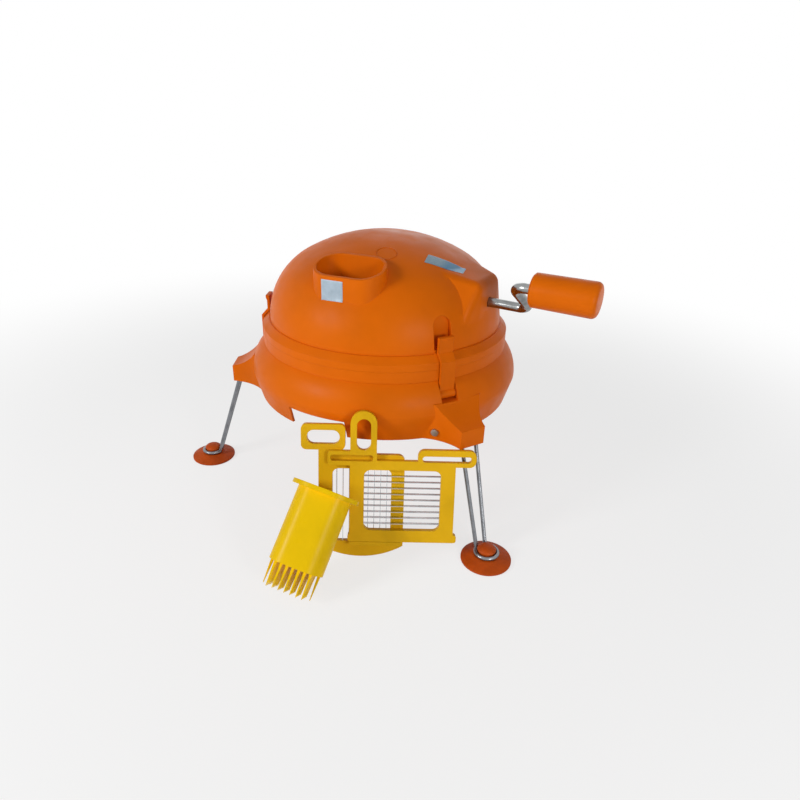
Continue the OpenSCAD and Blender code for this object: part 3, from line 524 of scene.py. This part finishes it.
class DICER_OT_chute_label(bpy.types.Operator):
    """Stick the bare square label on the chute's front wall"""

    bl_idname = "dicer.chute_label"
    bl_label = "Chute label"

    def execute(self, context):
        cover = bpy.data.objects["dome_cover_finish"]
        bpy.ops.object.select_all(action="DESELECT")
        turn = math.radians(LABEL_TURN)
        out = Vector((math.cos(turn), math.sin(turn), 0))
        side = Vector((-math.sin(turn), math.cos(turn), 0))
        middle = out * LABEL_OUT + side * LABEL_SIDE + Vector((0, 0, LABEL_UP))
        bpy.ops.mesh.primitive_grid_add(
            x_subdivisions=12, y_subdivisions=10, size=1, location=middle)
        label = context.view_layer.objects.active
        label.matrix_world = Matrix((
            (*(side * sizes().label_width)[:], 0), (0, 0, sizes().label_height, 0),
            (*out[:], 0), (*middle[:], 1))).transposed()
        settle(label, "chute_label")
        lay_on(label, cover, from_above=False)
        thicken(label, sizes().sheet * 0.6)
        f = Finish("label_film")
        f.give(Base_Color=f.ramp(f.noise(160.0, 4.0, 0.6), [
            (0.30, paint(160, 178, 192)), (0.60, paint(174, 191, 204)),
            (0.8, paint(186, 201, 212))]))
        f.give(Roughness=f.between(f.noise(90.0, 3.0), 0.30, 0.46))
        f.give(Normal=f.relief(f.noise(700.0, 2.0), 0.03 * MM, 0.5))
        f.set(Metallic=0.25)
        coat(label, f.made)
        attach(label, "cover")
        return {"FINISHED"}


class DICER_OT_crank_plate(bpy.types.Operator):
    """Lay the bare plate on the dome beside the crank"""

    bl_idname = "dicer.crank_plate"
    bl_label = "Plate by the crank"

    def sheet(self):
        """Brushed plate: a pale rim round a grey field that turns blue along its length."""
        f = Finish("plate_sheet")
        lines = f.stretched((60, 900, 900), (0, 0, math.radians(-26)))
        brushed = f.noise(1.0, 3.0, 0.6, lines)
        area = PLATE_LONG.cross(PLATE_WIDE).z
        along = f.share(PLATE_MIDDLE, Vector((PLATE_WIDE.y, -PLATE_WIDE.x, 0)) / area)
        across = f.share(PLATE_MIDDLE, Vector((-PLATE_LONG.y, PLATE_LONG.x, 0)) / area)
        rim = f.larger(f.between(f.size(along), 0.0, 1.0, *RIM_ALONG),
                       f.between(f.size(across), 0.0, 1.0, *RIM_ACROSS))
        blue = tuple(colours().print_tint)
        field = f.mix(f.between(along, 0.0, 1.0, *BLUE_ALONG),
                      f.ramp(brushed, [(0.30, paint(104, 132, 148)),
                                       (0.70, paint(132, 156, 170))]),
                      f.ramp(brushed, [(0.30, shade(blue, 0.82)), (0.70, blue)]))
        pale = f.ramp(brushed, [(0.30, paint(138, 156, 166)), (0.70, paint(168, 182, 190))])
        f.give(Base_Color=f.mix(rim, field, pale))
        f.give(Roughness=f.between(brushed, 0.30, 0.44))
        f.give(Normal=f.relief(brushed, 0.02 * MM, 0.5))
        f.set(Metallic=0.25)
        return f.made

    def execute(self, context):
        cover = bpy.data.objects["dome_cover_finish"]
        bpy.ops.object.select_all(action="DESELECT")
        bpy.ops.mesh.primitive_grid_add(
            x_subdivisions=28, y_subdivisions=12, size=1, location=PLATE_MIDDLE)
        plate = context.view_layer.objects.active
        plate.matrix_world = Matrix((
            (*PLATE_LONG[:], 0), (*PLATE_WIDE[:], 0),
            (0, 0, 1, 0), (*PLATE_MIDDLE[:], 1))).transposed()
        settle(plate, "crank_plate")
        bpy.ops.object.mode_set(mode="EDIT")
        along = PLATE_LONG.normalized()
        across = PLATE_WIDE.normalized()
        for one in (-1, 1):
            for two in (-1, 1):
                corner = PLATE_MIDDLE + PLATE_LONG * one / 2 + PLATE_WIDE * two / 2
                for cut, share in PLATE_CORNER:
                    lean = (along * one * share + across * two).normalized()
                    bpy.ops.mesh.select_all(action="SELECT")
                    bpy.ops.mesh.bisect(
                        plane_co=corner - lean * cut, plane_no=lean, clear_outer=True)
        bpy.ops.object.mode_set(mode="OBJECT")
        lay_on(plate, cover, from_above=True)
        thicken(plate, sizes().sheet)
        coat(plate, self.sheet())
        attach(plate, "cover")
        return {"FINISHED"}


class DICER_OT_mould_mark(bpy.types.Operator):
    """Raise the round mould mark on top of the dome"""

    bl_idname = "dicer.mould_mark"
    bl_label = "Mould mark"

    def execute(self, context):
        cover = bpy.data.objects["dome_cover_finish"]
        bpy.ops.object.select_all(action="DESELECT")
        outer = sizes().mark_width / 2
        bpy.ops.mesh.primitive_circle_add(vertices=72, radius=outer, location=MARK_MIDDLE)
        mark = context.view_layer.objects.active
        settle(mark, "mould_mark")
        bpy.ops.object.mode_set(mode="EDIT")
        bpy.ops.mesh.select_all(action="SELECT")
        bpy.ops.mesh.extrude_edges_move()
        inner = (outer - MARK_RING) / outer
        bpy.ops.transform.resize(value=(inner, inner, 1), center_override=MARK_MIDDLE)
        bpy.ops.mesh.select_all(action="SELECT")
        bpy.ops.mesh.normals_make_consistent(inside=False)
        bpy.ops.object.mode_set(mode="OBJECT")
        if sum(face.normal.z for face in mark.data.polygons) < 0:
            bpy.ops.object.mode_set(mode="EDIT")
            bpy.ops.mesh.select_all(action="SELECT")
            bpy.ops.mesh.flip_normals()
            bpy.ops.object.mode_set(mode="OBJECT")
        lay_on(mark, cover, from_above=True)
        thicken(mark, MARK_HEIGHT)
        coat(mark, bpy.data.materials["orange_moulding"])
        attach(mark, "cover")
        return {"FINISHED"}


class DICER_OT_stage(bpy.types.Operator):
    """Set up the pale floor, the soft lights and the camera"""

    bl_idname = "dicer.stage"
    bl_label = "Stage and camera"

    def floor(self, context):
        """A floor that glows white to the camera and keeps soft shadows near the dicer."""
        bpy.ops.object.select_all(action="DESELECT")
        bpy.ops.mesh.primitive_circle_add(
            vertices=96, radius=FLOOR_RADIUS, fill_type="NGON", location=(0, 0, -FLOOR_DROP))
        floor = context.view_layer.objects.active
        settle(floor, "floor")
        made = bpy.data.materials.new("pale_floor")
        made.use_nodes = True
        tree = made.node_tree
        tree.nodes.clear()
        out = tree.nodes.new("ShaderNodeOutputMaterial")
        paper = tree.nodes.new("ShaderNodeBsdfDiffuse")
        paper.inputs["Color"].default_value = (FLOOR_GREY, FLOOR_GREY, FLOOR_GREY, 1)
        glow = tree.nodes.new("ShaderNodeEmission")
        glow.inputs["Color"].default_value = (1, 1, 1, 1)
        seen = self.seen(tree)
        place = tree.nodes.new("ShaderNodeTexCoord")
        far = tree.nodes.new("ShaderNodeVectorMath")
        far.operation = "LENGTH"
        tree.links.new(place.outputs["Object"], far.inputs[0])
        fade = tree.nodes.new("ShaderNodeMapRange")
        fade.interpolation_type = "SMOOTHSTEP"
        fade.inputs["From Min"].default_value = FADE_NEAR
        fade.inputs["From Max"].default_value = FADE_FAR
        fade.inputs["To Min"].default_value = FADE_LEAST
        fade.inputs["To Max"].default_value = 1.0
        tree.links.new(far.outputs["Value"], fade.inputs["Value"])
        share = tree.nodes.new("ShaderNodeMath")
        share.operation = "MULTIPLY"
        tree.links.new(seen, share.inputs[0])
        tree.links.new(fade.outputs["Result"], share.inputs[1])
        mixed = tree.nodes.new("ShaderNodeMixShader")
        tree.links.new(share.outputs["Value"], mixed.inputs["Fac"])
        tree.links.new(paper.outputs["BSDF"], mixed.inputs[1])
        tree.links.new(glow.outputs["Emission"], mixed.inputs[2])
        tree.links.new(mixed.outputs["Shader"], out.inputs["Surface"])
        floor.data.materials.append(made)

    def seen(self, tree):
        """1 for camera, mirror and glass rays, and 0 for the light that falls on the dicer."""
        path = tree.nodes.new("ShaderNodeLightPath")
        total = path.outputs["Is Camera Ray"]
        for ray in ("Is Glossy Ray", "Is Transmission Ray"):
            both = tree.nodes.new("ShaderNodeMath")
            both.operation = "MAXIMUM"
            tree.links.new(total, both.inputs[0])
            tree.links.new(path.outputs[ray], both.inputs[1])
            total = both.outputs["Value"]
        return total

    def sky(self, context):
        """A white background that gives the dicer a weaker, even light."""
        world = context.scene.world or bpy.data.worlds.new("studio")
        context.scene.world = world
        world.use_nodes = True
        tree = world.node_tree
        tree.nodes.clear()
        out = tree.nodes.new("ShaderNodeOutputWorld")
        back = tree.nodes.new("ShaderNodeBackground")
        back.inputs["Color"].default_value = (1, 1, 1, 1)
        level = tree.nodes.new("ShaderNodeMapRange")
        level.inputs["To Min"].default_value = SKY_LIGHT
        level.inputs["To Max"].default_value = 1.0
        tree.links.new(self.seen(tree), level.inputs["Value"])
        tree.links.new(level.outputs["Result"], back.inputs["Strength"])
        tree.links.new(back.outputs["Background"], out.inputs["Surface"])

    def lamp(self, name, place, size, power):
        """One square lamp turned to the dicer."""
        bpy.ops.object.select_all(action="DESELECT")
        bpy.ops.object.light_add(type="AREA", location=place)
        lamp = bpy.context.view_layer.objects.active
        lamp.name = name
        lamp.data.shape = "SQUARE"
        lamp.data.size = size
        lamp.data.energy = power
        lamp.rotation_euler = (LAMP_AIM - Vector(place)).to_track_quat("-Z", "Y").to_euler()

    def execute(self, context):
        self.floor(context)
        self.sky(context)
        for lamp in LAMPS:
            self.lamp(*lamp)
        bpy.ops.object.select_all(action="DESELECT")
        bpy.ops.object.camera_add()
        camera = context.view_layer.objects.active
        camera.name = "camera"
        camera.data.sensor_fit = "HORIZONTAL"
        camera.data.sensor_width = SENSOR
        camera.data.lens = sizes().lens
        camera.data.clip_start = 0.01
        camera.data.clip_end = 50
        camera.matrix_world = CAMERA
        context.scene.camera = camera
        context.scene.view_settings.view_transform = "Standard"
        return {"FINISHED"}


OPERATORS = (
    DICER_OT_shell, DICER_OT_feet, DICER_OT_cutters, DICER_OT_pusher, DICER_OT_metal,
    DICER_OT_drive, DICER_OT_chute_label, DICER_OT_crank_plate, DICER_OT_mould_mark,
    DICER_OT_stage)


class DICER_PT_sidebar(bpy.types.Panel):
    """Lists the dicer's colours, sizes and finishing steps"""

    bl_idname = "DICER_PT_sidebar"
    bl_label = "Dicer"
    bl_space_type = "VIEW_3D"
    bl_region_type = "UI"
    bl_category = "Dicer"

    def draw(self, context):
        for group in (colours(), sizes()):
            for key in group.__annotations__:
                self.layout.prop(group, key)
        for operator in OPERATORS:
            self.layout.operator(operator.bl_idname)


CLASSES = (DicerColours, DicerSizes, *OPERATORS, DICER_PT_sidebar)


def register():
    for made in CLASSES:
        bpy.utils.register_class(made)
    bpy.types.Scene.dicer_colours = bpy.props.PointerProperty(type=DicerColours)
    bpy.types.Scene.dicer_sizes = bpy.props.PointerProperty(type=DicerSizes)


def unregister():
    del bpy.types.Scene.dicer_sizes
    del bpy.types.Scene.dicer_colours
    for made in reversed(CLASSES):
        bpy.utils.unregister_class(made)


def main():
    register()
    bpy.ops.dicer.shell()
    bpy.ops.dicer.feet()
    bpy.ops.dicer.cutters()
    bpy.ops.dicer.pusher()
    bpy.ops.dicer.metal()
    bpy.ops.dicer.drive()
    bpy.ops.dicer.chute_label()
    bpy.ops.dicer.crank_plate()
    bpy.ops.dicer.mould_mark()
    bpy.ops.dicer.stage()


if __name__ == "__main__":
    main()
